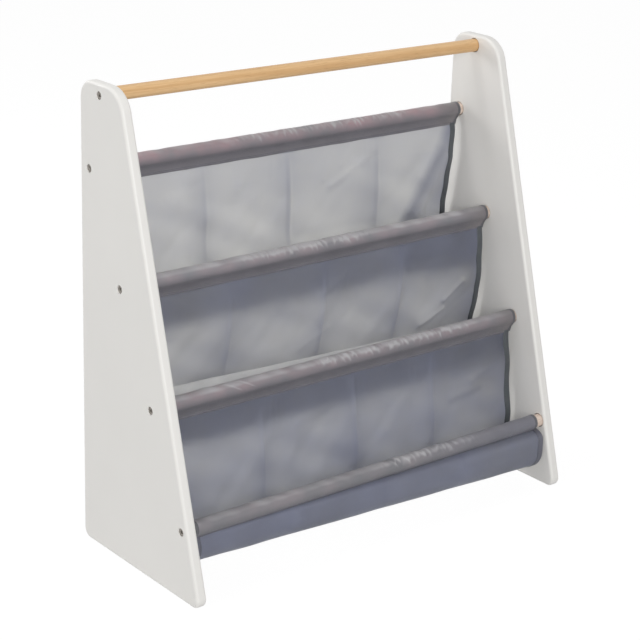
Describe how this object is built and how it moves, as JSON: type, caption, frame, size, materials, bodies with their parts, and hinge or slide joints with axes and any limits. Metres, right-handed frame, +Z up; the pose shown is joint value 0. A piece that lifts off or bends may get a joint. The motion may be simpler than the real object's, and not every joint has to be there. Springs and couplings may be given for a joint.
{
  "type": "sling bookshelf",
  "caption": "Low sling bookshelf for a child's room: two white tapered side boards, a bare wooden handle rod and three grey cloth pockets hung in steps on wooden rods.",
  "frame": {"origin": "on the floor under the middle of the whole piece", "axes": "+Z up, -Y the front where the pockets open, +X to the right seen from the front"},
  "size_m": [0.64, 0.2594, 0.62],
  "materials": {
    "white_board": "smooth satin white paint on the faces and the eased edges",
    "rod_wood": "clear satin lacquer on a pale straight-grained wood",
    "screw_steel": "plain plated steel, slightly dull",
    "pocket_cloth": "thin smooth woven polyester, slightly see-through",
    "seam_cloth": "the same cloth in two layers, darker, with a line of stitching"
  },
  "bodies": {
    "root": {"side_panel_left": "white_board", "side_panel_right": "white_board", "handle_rod": "rod_wood", "sling_rod_1": "rod_wood", "sling_rod_2": "rod_wood", "sling_rod_3": "rod_wood", "sling_rod_4": "rod_wood", "handle_screw_left": "screw_steel", "handle_screw_right": "screw_steel", "sling_screw_1_left": "screw_steel", "sling_screw_1_right": "screw_steel", "sling_screw_2_left": "screw_steel", "sling_screw_2_right": "screw_steel", "sling_screw_3_left": "screw_steel", "sling_screw_3_right": "screw_steel", "sling_screw_4_left": "screw_steel", "sling_screw_4_right": "screw_steel", "rod_sleeve_1": "seam_cloth", "rod_sleeve_2": "seam_cloth", "rod_sleeve_3": "seam_cloth", "rod_sleeve_4": "seam_cloth", "pocket_cloth_1": "pocket_cloth", "pocket_cloth_2": "pocket_cloth", "pocket_cloth_3": "pocket_cloth", "pocket_hem_1_left": "seam_cloth", "pocket_hem_1_right": "seam_cloth", "pocket_hem_2_left": "seam_cloth", "pocket_hem_2_right": "seam_cloth", "pocket_hem_3_left": "seam_cloth", "pocket_hem_3_right": "seam_cloth"}
  },
  "joints": []
}
